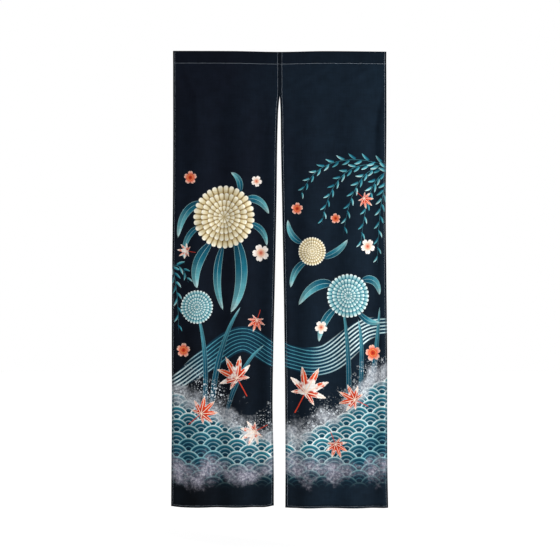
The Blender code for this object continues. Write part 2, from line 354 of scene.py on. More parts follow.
# The bank of waves: its crest from side to side as shares of the rise, and the rings of one scale
WAVE_RADIUS = 0.050
CREST_WIDTH = 0.90
CREST_FLOOR = -1.62
CREST_RISE = 0.40
CREST = ((0.0, 0.62), (0.18, 0.50), (0.38, 0.22), (0.55, 0.16), (0.74, 0.40), (0.90, 0.74), (1.0, 0.80))
WAVES_END = -1.700
WAVE_LIGHT = (
    (0.00, "12394D"), (0.28, "1D6175"), (0.31, "D5E6E6"), (0.36, "D5E6E6"), (0.39, "17506A"),
    (0.58, "2A7F90"), (0.61, "D5E6E6"), (0.66, "D5E6E6"), (0.69, "1B5C74"),
    (0.88, "3F9AA6"), (0.91, "EAF3F2"), (1.00, "F4F8F7"),
)
WAVE_DEEP = (
    (0.00, "0B1F2E"), (0.28, "10354A"), (0.31, "4A8090"), (0.36, "4A8090"), (0.39, "0D2A3D"),
    (0.58, "14455A"), (0.61, "4A8090"), (0.66, "4A8090"), (0.69, "0F3348"),
    (0.88, "1B5468"), (0.91, "6FA5AE"), (1.00, "86B8BE"),
)
MIST = ((0.30, "5F6670"), (0.50, "A9AEB6"), (0.70, "E4E7EA"))
FOAM = ((0.30, "4E5160"), (0.50, "9390A0"), (0.70, "D6D6DF"))
FOAM_LINE = -1.650
FOAM_REACH = 0.125
THREAD = ((0.35, "9CA9B8"), (0.65, "D0DBE8"))

# Light comes through one layer of cloth from behind, but hardly through the sewn layers of hems and pocket
HEM_SHADE = 0.55
POCKET_SHADE = 0.72

# Threads are 0.45 mm apart, drawn coarser so that the weave shows. Slubs are a thread wide, and are drawn
# about 4 mm wide and 70 mm long so that they show. Their numbers are counts in a metre
WEAVE_PITCH = 0.0011
SLUBS_ACROSS = 260.0
SLUBS_ALONG = 14.0

# The photo's frame at the curtain, and the studio
CAMERA_DISTANCE = 8.0
FRAME_SIZE = 2.2075
FRAME_CENTRE = (0.0008, -0.8944)
SENSOR = 36
FLOOR_RADIUS = 16.0
FLOOR_GAP = 0.20
FLOOR_GLOW = 0.62
STUDIO_LIGHT = 0.45
KEY_POWER = 42.0
KEY_PLACE = (1.50, -1.55, -0.70)
KEY_SIZE = (0.6, 2.8)

SMOOTH = {"interpolation_type": "SMOOTHSTEP"}


def linear(hex_colour):
    """An sRGB hex colour as the linear red, green, blue and alpha of a shader."""
    channels = [int(hex_colour[i : i + 2], 16) / 255 for i in (0, 2, 4)]
    return (*(c / 12.92 if c <= 0.04045 else ((c + 0.055) / 1.055) ** 2.4 for c in channels), 1.0)


def ease(share):
    """0 to 1 with a smooth start and end."""
    share = min(max(share, 0.0), 1.0)
    return share * share * (3 - 2 * share)


def bell(distance, half_width):
    return math.exp(-((distance / half_width) ** 2))


def curve(start, leave, end, reach, t):
    """From start to end as t goes from 0 to 1, with these slopes at the two ends."""
    return (
        start * (2 * t**3 - 3 * t**2 + 1)
        + leave * (t**3 - 2 * t**2 + t)
        + end * (3 * t**2 - 2 * t**3)
        + reach * (t**3 - t**2)
    )


def read_table(rows, at):
    """A row's value columns at this place in its first column, along a smooth line through the rows."""
    places = [row[0] for row in rows]
    at = min(max(at, places[0]), places[-1])
    k = max(i for i in range(len(rows) - 1) if places[i] <= at)
    step = places[k + 1] - places[k]
    t = (at - places[k]) / step

    def slope(i, column):
        low, high = max(i - 1, 0), min(i + 1, len(rows) - 1)
        before, here, after = (rows[j][column] for j in (low, i, high))
        turns_or_rests = low < i < high and (here - before) * (after - here) <= 0
        return 0.0 if turns_or_rests else (after - before) / (places[high] - places[low])

    return [
        curve(rows[k][c], slope(k, c) * step, rows[k + 1][c], slope(k + 1, c) * step, t)
        for c in range(1, len(rows[0]))
    ]


def raw_fold(panel, across, drop):
    """The folds' relative height, with the seam edge held flat above the slit."""
    share = drop / CURTAIN_LENGTH
    total = 0.0
    for fold in panel.folds:
        centre = fold.at_top + (fold.at_bottom - fold.at_top) * share
        total += fold.height * bell(across - centre, fold.half_width)
    hold = 1 - ease((drop - SLIT_HEAD) / SEAM_HOLD_FADE)
    return total * (1 - hold * bell(PANEL_WIDTH - across, SEAM_HOLD_REACH))


def hang_row(panel, places, drop):
    """Each place's distance from the middle line and its height forward, on the row at this drop.

    The folds are as deep as it takes to use up the cloth that the hung width leaves spare.
    """
    outer, inner = read_table(panel.edges, drop)
    heights = [raw_fold(panel, across, drop) for across in places]
    steps = [(b - a, hb - ha) for a, b, ha, hb in zip(places, places[1:], heights, heights[1:])]
    unit_take_up = sum(rise * rise / (2 * run) for run, rise in steps)
    freed = ease((drop - POCKET_DEPTH) / STITCH_HOLD_FADE)
    spare = max(PANEL_WIDTH - (outer - inner) - STITCH_TAKE_UP * (1 - freed), 0.0)
    depth = math.sqrt(spare / unit_take_up) * (FOLDS_AT_STITCHES + (1 - FOLDS_AT_STITCHES) * freed)
    widths = [
        math.sqrt(max(run * run - (depth * rise) ** 2, LEAST_RUN * run * run)) for run, rise in steps
    ]
    scale = (outer - inner) / sum(widths)
    distances = [outer]
    for width in widths:
        distances.append(distances[-1] - width * scale)
    return distances, [depth * height for height in heights]


def crease_height(crease, x, drop):
    """A soft ridge or trough from one point of the cloth to another, fading out at its ends."""
    along = Vector((crease.x2 - crease.x1, crease.drop2 - crease.drop1))
    place = Vector((x - crease.x1, drop - crease.drop1))
    t = place.dot(along) / along.length_squared
    if not -CREASE_RUN_ON < t < 1 + CREASE_RUN_ON:
        return 0.0
    off = (place - along * min(max(t, 0.0), 1.0)).length
    fade = ease((t + CREASE_RUN_ON) / CREASE_FADE) * ease((1 + CREASE_RUN_ON - t) / CREASE_FADE)
    return crease.height * bell(off, crease.half_width) * fade


def small_relief(panel, across, x, drop):
    """Heights too small for the solids: creases, the pucker along the sewing, and the cloth's unevenness."""
    fine = sum(crease_height(crease, x, drop) for crease in panel.creases)
    edge = min(across, PANEL_WIDTH - across)
    outer_half = across < edge + 0.001
    pull = noise.noise(Vector((drop / HEM_PUCKER_SIZE, panel.side * outer_half, 3.0)))
    fine += HEM_PUCKER * bell(edge - PUCKER_INSIDE, HEM_PUCKER_REACH) * pull
    gather = noise.noise(Vector((x / POCKET_PUCKER_SIZE[0], 5.0, drop / POCKET_PUCKER_SIZE[1])))
    fine += POCKET_PUCKER * bell(drop - POCKET_DEPTH - PUCKER_INSIDE, POCKET_PUCKER_REACH) * gather
    for height, (wide, tall), layer in UNEVEN:
        fine += height * noise.noise(Vector((x / wide, drop / tall, layer)))
    return fine * ease((drop - POCKET_DEPTH) / RELIEF_FADE)


def turn_of_layers():
    """Places inside the edge and shares of the way behind, round a turned edge from behind to the front."""
    angles = [math.pi * (1 - i / TURN_STEPS) for i in range(TURN_STEPS + 1)]
    return [(LAYER_STEP / 2 * (1 - math.sin(a)), (1 - math.cos(a)) / 2) for a in angles]


def cloth_columns():
    """Columns of one side's sheet, from the outer hem's turned edge round to the slit hem's turned edge."""
    turned = [Column(across, 1.0, -across) for across in (HEM_TURN, *reversed(HEM_STEPS))]
    turned[0] = turned[0]._replace(behind=HEM_CUT_EDGE)
    arc = [Column(inside, behind, (0.5 - behind) * LAYER_STEP) for inside, behind in turn_of_layers()]
    hem = [Column(across, 0.0, across) for across in HEM_STEPS[:3]]
    edge = turned + arc + hem
    field_width = PANEL_WIDTH - 2 * HEM_TURN
    places = [HEM_TURN + field_width * i / FIELD_COLUMNS for i in range(FIELD_COLUMNS + 1)]
    field = [Column(across, 0.0, across) for across in places]
    slit_edge = [Column(PANEL_WIDTH - c.across, c.behind, PANEL_WIDTH - c.flat) for c in reversed(edge)]
    return edge + field + slit_edge


def panel_rows(length):
    """Rows of one side's sheet below the stitch line, down to the bottom edge and up the turned hem."""
    start = POCKET_DEPTH + FIRST_ROW
    end = length - HEM_STEPS[0]
    rows = [(start + (end - start) * i / PANEL_ROWS, 0.0) for i in range(PANEL_ROWS + 1)]
    rows += [(length - inside, behind) for inside, behind in reversed(turn_of_layers())]
    rows += [(length - up, 1.0) for up in HEM_STEPS]
    rows.append((length - HEM_TURN, HEM_CUT_EDGE))
    return [Row(drop, behind, -drop if behind < 0.5 else drop - 2 * length) for drop, behind in rows]


def pocket_path():
    """The rod pocket's section from the flap's edge up the back and over to the front foot.

    Each step has its y and z, its outward y and z, and its place up the flat cloth from the top edge.
    """
    foot = TOP_EDGE - POCKET_DEPTH
    front_lean = math.asin((POCKET_RADIUS - POCKET_FRONT_FOOT) / -foot)
    back_lean = math.asin((POCKET_RADIUS + POCKET_BACK_FOOT) / -foot)
    path = [(0.0, foot - POCKET_FLAP, 1.0, 0.0)]

    def wall(foot_y, lean, side):
        out_y, out_z = side * math.cos(lean), -math.sin(lean)
        top_y, top_z = side * POCKET_RADIUS * math.cos(lean), -POCKET_RADIUS * math.sin(lean)
        steps = range(WALL_ROWS)
        ys = [foot_y + (top_y - foot_y) * i / WALL_ROWS for i in steps]
        zs = [foot + (top_z - foot) * i / WALL_ROWS for i in steps]
        return [(y, z, out_y, out_z) for y, z in zip(ys, zs)]

    path += wall(-POCKET_BACK_FOOT, back_lean, 1)
    for i in range(ARC_ROWS + 1):
        angle = -back_lean + (math.pi + back_lean + front_lean) * i / ARC_ROWS
        y, z = math.cos(angle), math.sin(angle)
        path.append((POCKET_RADIUS * y, POCKET_RADIUS * z, y, z))
    path += reversed(wall(-POCKET_FRONT_FOOT, front_lean, -1))
    lengths = [0.0]
    for a, b in zip(path, path[1:]):
        lengths.append(lengths[-1] + math.hypot(b[0] - a[0], b[1] - a[1]))
    top = lengths[max(range(len(path)), key=lambda i: path[i][1])]
    front_scale = POCKET_DEPTH / (lengths[-1] - top)
    return [
        (*step, (top - length) * (front_scale if length > top else 1.0))
        for step, length in zip(path, lengths)
    ]


def layers_behind(column, row_behind):
    """How many layer steps a point lies behind the front layer, where side and bottom hems may be turned."""
    edge = min(column.across, PANEL_WIDTH - column.across)
    stack = 1 + 2 * (1 - ease((edge - HEM_TURN) / HEM_ROOM))
    return column.behind * (1 - row_behind) + row_behind * (stack - column.behind)


def hang_cloth(panel):
    """Every point of a side's sheet, its outward direction and its place on the flat cloth."""
    columns = cloth_columns()
    across = np.array([c.across for c in columns])
    places = sorted({round(c.across, 6) for c in columns})
    points, outward, flats = [], [], []

    def add_row(distances, heights, turn, behind_row, place):
        """turn gives the base y, the z and the outward y and z at no fold; heights come forward from it."""
        base_y, z, out_y, out_z = turn
        x_run, y_run = np.gradient(distances, places), np.gradient(heights, places)
        slope = np.interp(across, places, y_run / -x_run)
        distance = np.interp(across, places, distances)
        height = np.interp(across, places, heights)
        size = np.sqrt(1 + slope**2)
        x_out, y_out = -panel.side * slope / size, out_y / size
        back = np.array([layers_behind(c, behind_row) for c in columns]) * LAYER_STEP
        dips = np.array([read_table(TOP_DIPS, panel.side * d)[0] for d in distance])
        xs = panel.side * distance - x_out * back
        ys = base_y - height - y_out * back
        zs = z - out_z * back
        points.append((xs, ys, zs, dips))
        outward.append((x_out, y_out, np.full(len(across), out_z)))
        flats.append(place)

    flat_row = hang_row(panel, places, 0.0)[0]
    still = [0.0] * len(places)
    path = pocket_path()
    for i, (*turn, place) in enumerate(path):
        add_row(flat_row, still, turn, FLAP_CUT_EDGE if i == 0 else 0.0, place)
    drops = [0.0] * len(path)
    for row in panel_rows(panel.length):
        distances, heights = hang_row(panel, places, row.drop)
        heights = [
            h + small_relief(panel, s, panel.side * d, row.drop)
            for s, d, h in zip(places, distances, heights)
        ]
        stand = (POCKET_FRONT_FOOT - FRONT_SET) * (1 - ease((row.drop - POCKET_DEPTH) / POCKET_BLEND))
        turn = (-FRONT_SET - stand, TOP_EDGE - row.drop, -1.0, 0.0)
        add_row(distances, heights, turn, row.behind, row.flat)
        drops.append(row.drop)

    grid = np.empty((len(points), len(columns), 3))
    normals = np.empty_like(grid)
    for r, ((xs, ys, zs, dips), out) in enumerate(zip(points, outward)):
        hang = max(drops[r] - POCKET_DEPTH, 0.0) / (panel.length - POCKET_DEPTH)
        rise = sum(
            corner * np.exp(-((reach / CORNER_REACH) ** 2))
            for corner, reach in zip(panel.corner_rise, (across, PANEL_WIDTH - across))
        )
        grid[r] = np.stack([xs, ys, zs - dips * (1 - hang) + rise * hang**CORNER_LIFT_POWER], axis=1)
        normals[r] = np.stack(out, axis=1)
    flat_x = panel.side * (PANEL_WIDTH - np.array([c.flat for c in columns]))
    front = np.array([c.behind == 0.0 for c in columns])
    return Hung(across, front, grid, normals, np.array(flats), flat_x)


def new_mesh(name, shape):
    """The shape as a mesh of this name."""
    mesh = bpy.data.meshes.new(name)
    shape.to_mesh(mesh)
    shape.free()
    return mesh


def new_object(name, data):
    """An object in the scene, at the origin."""
    thing = bpy.data.objects.new(name, data)
    bpy.context.scene.collection.objects.link(thing)
    return thing


def make_cloth(panel, hung):
    """A side's sheet as one closed mesh, with its flat place in a map and its reverse marked."""
    columns, rows = len(hung.across), len(hung.flats)
    shape = bmesh.new()
    bmesh.ops.create_grid(shape, x_segments=columns - 1, y_segments=rows - 1, size=0.5)
    flat_map = shape.loops.layers.uv.new("flat cloth")
    spots = {}
    for vertex in shape.verts:
        column = round((vertex.co.x + 0.5) * (columns - 1))
        row = round((0.5 - vertex.co.y) * (rows - 1))
        spots[vertex] = (hung.flat_x[column], hung.flats[row])
        vertex.co = hung.grid[row, column]
    for face in shape.faces:
        for loop in face.loops:
            loop[flat_map].uv = spots[loop.vert]
    shape.normal_update()
    if sum(face.normal.y * face.calc_area() for face in shape.faces) > 0:
        bmesh.ops.reverse_faces(shape, faces=shape.faces)
    mesh = new_mesh(panel.name + "_sheet", shape)
    layer = new_object(mesh.name, mesh)
    thick = layer.modifiers.new("Cloth thickness", "SOLIDIFY")
    thick.thickness = CLOTH_THICK
    thick.offset = 0.0
    thick.material_offset = 1
    # Two empty slots: Solidify gives the reverse the second, and that is how its faces are told apart
    mesh.materials.append(None)
    mesh.materials.append(None)
    solid = bpy.data.meshes.new_from_object(layer.evaluated_get(bpy.context.evaluated_depsgraph_get()))
    bpy.data.objects.remove(layer)
    solid.name = panel.name + "_cloth"
    reverse = solid.attributes.new("reverse", "FLOAT", "FACE")
    slots = np.empty(len(solid.polygons), dtype=np.int32)
    solid.polygons.foreach_get("material_index", slots)
    reverse.data.foreach_set("value", (slots > 0).astype(np.float32))
    solid.polygons.foreach_set("material_index", np.zeros_like(slots))
    solid.materials.clear()
    solid.shade_smooth()
    solid.set_sharp_from_angle(angle=SHARP_ANGLE)
    return new_object(solid.name, solid)


def place_on(hung, across, flat):
    """The points and the outward directions at these places of the hung cloth."""
    row = np.interp(-flat, -hung.flats, np.arange(len(hung.flats)))
    column = np.interp(across, hung.across[hung.front], np.flatnonzero(hung.front))
    r = np.minimum(row.astype(int), len(hung.flats) - 2)
    c = np.minimum(column.astype(int), len(hung.across) - 2)
    down, over = (row - r)[:, None], (column - c)[:, None]

    def blend(values):
        near = values[r, c] * (1 - over) + values[r, c + 1] * over
        far = values[r + 1, c] * (1 - over) + values[r + 1, c + 1] * over
        return near * (1 - down) + far * down

    out = blend(hung.outward)
    return blend(hung.grid), out / np.linalg.norm(out, axis=1)[:, None]


def seam_lines(panel):
    """Rows of stitching on one side of the curtain, on the front of the cloth and then behind it."""
    bottom = BOTTOM_LINE - panel.length
    outer, slit = HEM_LINE, PANEL_WIDTH - SEAM_LINE
    lines = []
    for top, behind in ((OVER_THE_TOP, False), (POCKET_LINE, True)):
        lines += (
            SeamLine(outer, top, outer, bottom, behind),
            SeamLine(slit, top, slit, bottom, behind),
            SeamLine(outer, bottom, slit, bottom, behind),
            SeamLine(LINE_END, POCKET_LINE, PANEL_WIDTH - LINE_END, POCKET_LINE, behind),
        )
    return lines


def make_stitches(panel, hung):
    """All the lockstitches of one side, each a flat lens of thread that lies along its line."""
    lens = bmesh.new()
    bmesh.ops.create_uvsphere(lens, u_segments=6, v_segments=4, radius=0.5)
    stitch = new_mesh("stitch", lens)
    beside_share, out_share, along_share = np.array([vertex.co for vertex in stitch.vertices]).T[:, :, None]
    shape = bmesh.new()
    for line in seam_lines(panel):
        length = math.hypot(line.across2 - line.across1, line.flat2 - line.flat1)
        count = int(length / STITCH_PITCH)

        def places(part, line=line, count=count):
            share = (np.arange(count) + part) / count
            across = line.across1 + (line.across2 - line.across1) * share
            return across, line.flat1 + (line.flat2 - line.flat1) * share

        middle, out = place_on(hung, *places(0.5))
        along = place_on(hung, *places(0.7))[0] - place_on(hung, *places(0.3))[0]
        along /= np.linalg.norm(along, axis=1)[:, None]
        if line.behind:
            bottom_hem = HEM_TURN - panel.length
            layers = [
                layers_behind(Column(across, 0.0, across), 1.0) if flat < bottom_hem else 1
                for across, flat in zip(*places(0.5))
            ]
            middle, out = middle - out * LAYER_STEP * np.array(layers)[:, None], -out
        centre = middle + out * (CLOTH_THICK / 2 + STITCH_HIGH * STITCH_PROUD)
        beside = np.cross(out, along)
        for i in range(count):
            spots = (
                centre[i]
                + beside_share * beside[i] * STITCH_WIDE
                + out_share * out[i] * STITCH_HIGH
                + along_share * along[i] * STITCH_LONG
            )
            stitch.vertices.foreach_set("co", spots.ravel())
            shape.from_mesh(stitch)
    mesh = new_mesh(panel.name + "_stitches", shape)
    mesh.shade_smooth()
    return new_object(mesh.name, mesh)


def corner_spots(mesh):
    """Every face corner's place on the flat cloth, by face."""
    spots = np.empty(len(mesh.loops) * 2, dtype=np.float32)
    mesh.uv_layers["flat cloth"].uv.foreach_get("vector", spots)
    return spots.reshape(-1, 4, 2)


def write_marks(mesh, name, domain, marks):
    mesh.attributes.new(name, "FLOAT_VECTOR", domain).data.foreach_set("vector", marks.ravel())


def mark_discs(mesh, name, discs):
    """Gives each face near a round motif its corners' places in the motif, in radii, and the motif's tint."""
    spots = corner_spots(mesh)
    middles = spots.mean(axis=1)
    marks = np.zeros((len(spots), 4, 3), dtype=np.float32)
    marks[..., :2] = OFF_MOTIF
    nearest = np.full(len(spots), DISC_REACH)
    for disc in discs:
        centre = np.array([disc.x, -disc.drop])
        reach = np.linalg.norm(middles - centre, axis=1) / disc.radius
        near = reach < nearest
        nearest[near] = reach[near]
        local = (spots[near] - centre) / disc.radius
        cos, sin = math.cos(disc.turn), math.sin(disc.turn)
        marks[near, :, 0] = local[..., 0] * cos + local[..., 1] * sin
        marks[near, :, 1] = local[..., 1] * cos - local[..., 0] * sin
        marks[near, :, 2] = disc.tint
    write_marks(mesh, name, "CORNER", marks)


def route_of(blade, steps):
    """The curve of a blade or strand on the flat cloth, from its root over its middle handle to its tip."""
    a, b, c = (np.array([blade[i], -blade[i + 1]]) for i in (0, 2, 4))
    t = np.linspace(0, 1, steps + 1)[:, None]
    return (1 - t) ** 2 * a + 2 * t * (1 - t) * b + t**2 * c


def smooth_route(points, steps):
    """A smooth line through the points, with this many steps from each to the next."""
    route = []
    last = len(points) - 1
    for i in range(last):
        a, b = points[i], points[i + 1]
        leave = (b - points[max(i - 1, 0)]) / 2
        reach = (points[min(i + 2, last)] - a) / 2
        route += [curve(a, leave, b, reach, k / steps) for k in range(steps)]
    return np.array([*route, points[-1]])


def place_on_route(spots, route, half_widths):
    """Each spot's distance outside a ribbon, place across, share of the way, and the half width there."""
    marks = np.zeros((len(spots), 4), dtype=np.float32)
    nearest = np.full(len(spots), OFF_MOTIF)
    for i, (a, b) in enumerate(zip(route, route[1:])):
        along = b - a
        t = np.clip(((spots - a) @ along) / (along @ along), 0, 1)
        off = spots - (a + t[:, None] * along)
        distance = np.hypot(off[:, 0], off[:, 1])
        half_width = half_widths[i] + (half_widths[i + 1] - half_widths[i]) * t
        side = np.sign(along[0] * off[:, 1] - along[1] * off[:, 0])
        share = (i + t) / (len(route) - 1)
        found = np.stack([distance - half_width, distance * side, share, half_width], axis=1)
        near = distance < nearest
        nearest[near] = distance[near]
        marks[near] = found[near]
    return marks


def mark_blades(mesh, name, blades):
    """Gives each face near a blade or stem its corners' share of the way, place across and half width."""
    spots = corner_spots(mesh)
    middles = spots.mean(axis=1)
    marks = np.zeros((len(spots), 4, 3), dtype=np.float32)
    marks[..., 1] = OFF_MOTIF
    nearest = np.full(len(spots), BLADE_MARGIN)
    for blade in blades:
        route = route_of(blade, BLADE_STEPS)
        share = np.linspace(0, 1, BLADE_STEPS + 1)
        width = WILLOW_STEM if isinstance(blade, Strand) else blade.width
        bow = np.sqrt(np.clip(4 * share * (1 - share), 0, 1))
        widths = width / 2 * bow * (BLADE_AT_ROOT - BLADE_LOSS * share)
        reach = width + BLADE_MARGIN
        inside = (middles > route.min(axis=0) - reach) & (middles < route.max(axis=0) + reach)
        around = np.flatnonzero(inside.all(axis=1))
        outside = place_on_route(middles[around], route, widths)[:, 0]
        near = outside < nearest[around]
        faces = around[near]
        nearest[faces] = outside[near]
        corners = place_on_route(spots[faces].reshape(-1, 2), route, widths)
        marks[faces] = corners[:, (2, 1, 3)].reshape(-1, 4, 3)
    write_marks(mesh, name, "CORNER", marks)


def willow_leaves():
    """The leaves of every willow strand, left and right by turns, hanging on from where they join it.

    Where strands meet, a leaf that would lie on another is left out.
    """
    leaves = []
    for strand in WILLOW:
        route = route_of(strand, strand.leaves)
        for i in range(1, strand.leaves):
            along = route[i + 1] - route[i - 1]
            turn = math.atan2(along[1], along[0]) + WILLOW_SPREAD * (-1) ** i
            size = WILLOW_LEAF * (LEAF_AT_ROOT - LEAF_LOSS * i / strand.leaves)
            x, z = route[i] + size * LEAF_STAND * np.array([math.cos(turn), math.sin(turn)])
            leaf = Disc(x, -z, size, turn, (i * LEAF_TINT_STEP + strand.x2) % 1)
            if all(math.hypot(leaf.x - other.x, leaf.drop - other.drop) > LEAF_ROOM for other in leaves):
                leaves.append(leaf)
    return leaves


def mark_stream(mesh):
    """Gives each vertex its place in the flowing stream."""
    rows = [np.array([row.x, -row.drop, row.half_width]) for row in STREAM]
    route = smooth_route(rows, STREAM_STEPS)
    corners = np.empty(len(mesh.loops), dtype=np.int32)
    mesh.loops.foreach_get("vertex_index", corners)
    spots = np.zeros((len(mesh.vertices), 2), dtype=np.float32)
    spots[corners] = corner_spots(mesh).reshape(-1, 2)
    write_marks(mesh, "stream", "POINT", place_on_route(spots, route[:, :2], route[:, 2])[:, :3])


def add_node(tree, kind, *values, out=0, colours=(), line=(), **settings):
    """A new shader node with its settings. Its inputs come in order: numbers, hex colours, sockets to link,
    or None to skip.

    A kind in capitals is the operation of a Math node. colours are a ramp's (place, hex colour) pairs, and
    line is a float curve's (place, height) pairs.
    """
    if kind.isupper():
        kind, settings["operation"] = "Math", kind
    node = tree.nodes.new("ShaderNode" + kind)
    for name, setting in settings.items():
        setattr(node, name, setting)
    for socket, value in zip(node.inputs, values):
        if isinstance(value, bpy.types.NodeSocket):
            tree.links.new(value, socket)
        elif value is not None:
            socket.default_value = linear(value) if isinstance(value, str) else value
    for i, (place, hex_colour) in enumerate(colours):
        stops = node.color_ramp.elements
        stop = stops[i] if i < len(stops) else stops.new(1.0)
        stop.position, stop.color = place, linear(hex_colour)
    for i, spot in enumerate(line):
        points = node.mapping.curves[0].points
        point = points[i] if i < len(points) else points.new(1.0, 1.0)
        point.location, point.handle_type = spot, "VECTOR"
    if line:
        node.mapping.update()
    return node.outputs[out]


def marked(add, mark):
    """The three numbers of a mark on the cloth."""
    return add("SeparateXYZ", add("Attribute", attribute_name=mark, out="Vector")).node.outputs


def polar(add, mark):
    """A round motif's local x and y, tint, distance from its centre, and angle in turns."""
    x, y, tint = marked(add, mark)
    reach = add("VectorMath", add("CombineXYZ", x, y), operation="LENGTH", out="Value")
    return x, y, tint, reach, add("MULTIPLY", add("ARCTAN2", y, x), 1 / math.tau)


def petal(add, angle, petals, turn, droop, size):
    """How far round from the nearest petal's middle, in petals, and how far out that petal reaches there."""
    spoke = add("PINGPONG", add("MULTIPLY_ADD", angle, petals, turn), 0.5)
    return spoke, add("MULTIPLY_ADD", add("POWER", spoke, 3.0), droop, size)


def print_mums(add, under):
    """Full chrysanthemums, ring on ring of petals, cream or pale blue."""
    _, _, tint, reach, angle = polar(add, "mums")
    tone, whole = None, None
    for ring, inner in zip(MUM_RINGS, (*MUM_RINGS[1:], None)):
        droop = -8 * ring.tip_drop * ring.size
        spoke, edge = petal(add, angle, ring.petals, ring.turn, droop, ring.size)
        inside = add("GREATER_THAN", edge, reach)
        root = inner.size - 0.06 if inner else -0.05
        light = add("MapRange", reach, root, ring.size, 0.26, 1.04)
        seam = add("MapRange", spoke, 0.24, 0.50, 1.0, 0.40, **SMOOTH)
        light = add("MULTIPLY", light, seam)
        if tone is None:
            tone, whole = light, inside
        else:
            tone = add("Mix", inside, None, tone, light)
    cream = add("ValToRGB", tone, colours=MUM_CREAM)
    blue = add("ValToRGB", tone, colours=MUM_BLUE)
    return add("MixRGB", whole, under, add("MixRGB", tint, cream, blue))


def print_blossoms(add, under):
    """Small five-petalled plum blossoms with a notch in each petal and a ring of stamens."""
    _, _, tint, reach, angle = polar(add, "blossoms")
    spoke, edge = petal(add, angle, 5.0, 0.0, -3.6, 1.0)
    notch = add("MapRange", spoke, 0.0, 0.07, 0.12, 0.0, **SMOOTH)
    edge = add("SUBTRACT", edge, notch)
    inside = add("GREATER_THAN", edge, reach)
    red = add("ValToRGB", reach, colours=BLOSSOM_RED)
    white = add("ValToRGB", reach, colours=BLOSSOM_WHITE)
    colour = add("MixRGB", tint, red, white)
    stamen = add("PINGPONG", add("MULTIPLY", angle, 15.0), 0.5)
    stamen = add("LESS_THAN", stamen, 0.16)
    tips = add("COMPARE", reach, 0.40, 0.055)
    colour = add("MixRGB", add("MULTIPLY", stamen, tips), colour, "E9C66A")
    return add("MixRGB", inside, under, colour)


def print_maples(add, under):
    """Seven-lobed maple leaves in orange red, mottled with white, with pale veins and a thin stem."""
    x, y, tint, reach, angle = polar(add, "maples")
    share = add("MULTIPLY", add("ABSOLUTE", angle), 2.0)
    edge = add("FloatCurve", 1.0, share, line=MAPLE_EDGE)
    teeth = add("PINGPONG", add("MULTIPLY", share, 46.0), 0.5)
    edge = add("MULTIPLY_ADD", teeth, -0.07, edge)
    room = add("SUBTRACT", edge, reach)
    inside = add("GREATER_THAN", room, 0.0)
    vein = add("FloatCurve", 1.0, share, line=MAPLE_VEINS)
    vein = add("LESS_THAN", add("MULTIPLY", vein, reach), 0.0055)
    colour = add("ValToRGB", reach, colours=MAPLE_RED)
    wash = add("TexNoise", add("CombineXYZ", x, y, tint), None, 2.2, 2.0, 0.5)
    wash = add("MapRange", add("ADD", wash, tint), 0.92, 1.02, **SMOOTH)
    colour = add("MixRGB", wash, colour, "F3ECE6")
    colour = add("MixRGB", vein, colour, "F6D9C4")
    rim = add("LESS_THAN", room, 0.035)
    colour = add("MixRGB", rim, colour, "FBEFE6")
    across_stem = add("COMPARE", y, 0.0, 0.022)
    along_stem = add("COMPARE", x, -0.42, 0.42)
    under = add("MixRGB", add("MULTIPLY", across_stem, along_stem), under, "C8402A")
    return add("MixRGB", inside, under, colour)


def print_willow(add, under):
    """Narrow willow leaves, bent a little, dark at the root and pale at the tip and along one side."""
    x, y, tint, _, _ = polar(add, "willow leaves")
    bend = add("MULTIPLY", x, x)
    y = add("MULTIPLY_ADD", bend, 0.16, y)
    width = add("MULTIPLY_ADD", bend, -0.21, 0.21)
    width = add("MULTIPLY_ADD", x, -0.06, width)
    inside = add("LESS_THAN", add("ABSOLUTE", y), width)
    tone = add("MULTIPLY_ADD", x, 0.30, 0.36)
    tone = add("MULTIPLY_ADD", y, 1.30, tone)
    tone = add("MULTIPLY_ADD", tint, 0.36, tone)
    return add("MixRGB", inside, under, add("ValToRGB", tone, colours=WILLOW_COLOURS))


def print_stems(add, under):
    """The thin stems that the willow leaves hang from."""
    _, across, half_width = marked(add, "willow stems")
    return add("MixRGB", add("COMPARE", across, 0.0, half_width), under, "4F96A2")


def print_blades(add, under, mark, stops):
    """Long leaf blades with a pale midrib, one half lighter than the other, and a fine pale edge.

    On narrow blades the pale lines are softer, because they are finer than the render shows.
    """
    share, across, half_width = marked(add, mark)
    colour = add("ValToRGB", share, colours=stops)
    half = add("MULTIPLY", add("LESS_THAN", across, 0.0), 0.42)
    colour = add("MixRGB", half, colour, "0B2E42")
    rib = add("COMPARE", across, 0.0, BLADE_RIB)
    room = add("SUBTRACT", half_width, add("ABSOLUTE", across))
    rim = add("LESS_THAN", room, BLADE_RIM)
    strength = add("MapRange", half_width, 0.007, 0.016, 0.15, 0.75)
    line = add("MULTIPLY", add("MAXIMUM", rib, rim), strength)
    colour = add("MixRGB", line, colour, "A9D2D4")
    return add("MixRGB", add("GREATER_THAN", room, 0.0), under, colour)


def print_stream(add, under):
    """A flowing stream of parallel lines, pale at their crests, on a deep blue ribbon."""
    outside, across, share = marked(add, "stream")
    inside = add("MapRange", outside, -0.006, 0.0, 1.0, 0.0)
    line = add("PINGPONG", across, STREAM_LINE / 2)
    swell = add("SINE", add("MULTIPLY", share, 9.0))
    thick = add("MULTIPLY_ADD", swell, 0.0009, 0.0019)
    line = add("MULTIPLY", add("LESS_THAN", line, thick), inside)
    body = add("MULTIPLY", inside, 0.55)
    colour = add("MixRGB", body, under, "17455C")
    pale = add("MixRGB", swell, "4C93A3", "CFE3E4")
    return add("MixRGB", line, colour, pale)


def crest_at(add, x):
    """How high the bank of waves reaches at this place across the cloth."""
    share = add("MULTIPLY_ADD", x, 1 / CREST_WIDTH, 0.5)
    rise = add("FloatCurve", 1.0, share, line=CREST)
    return add("MULTIPLY_ADD", rise, CREST_RISE, CREST_FLOOR)


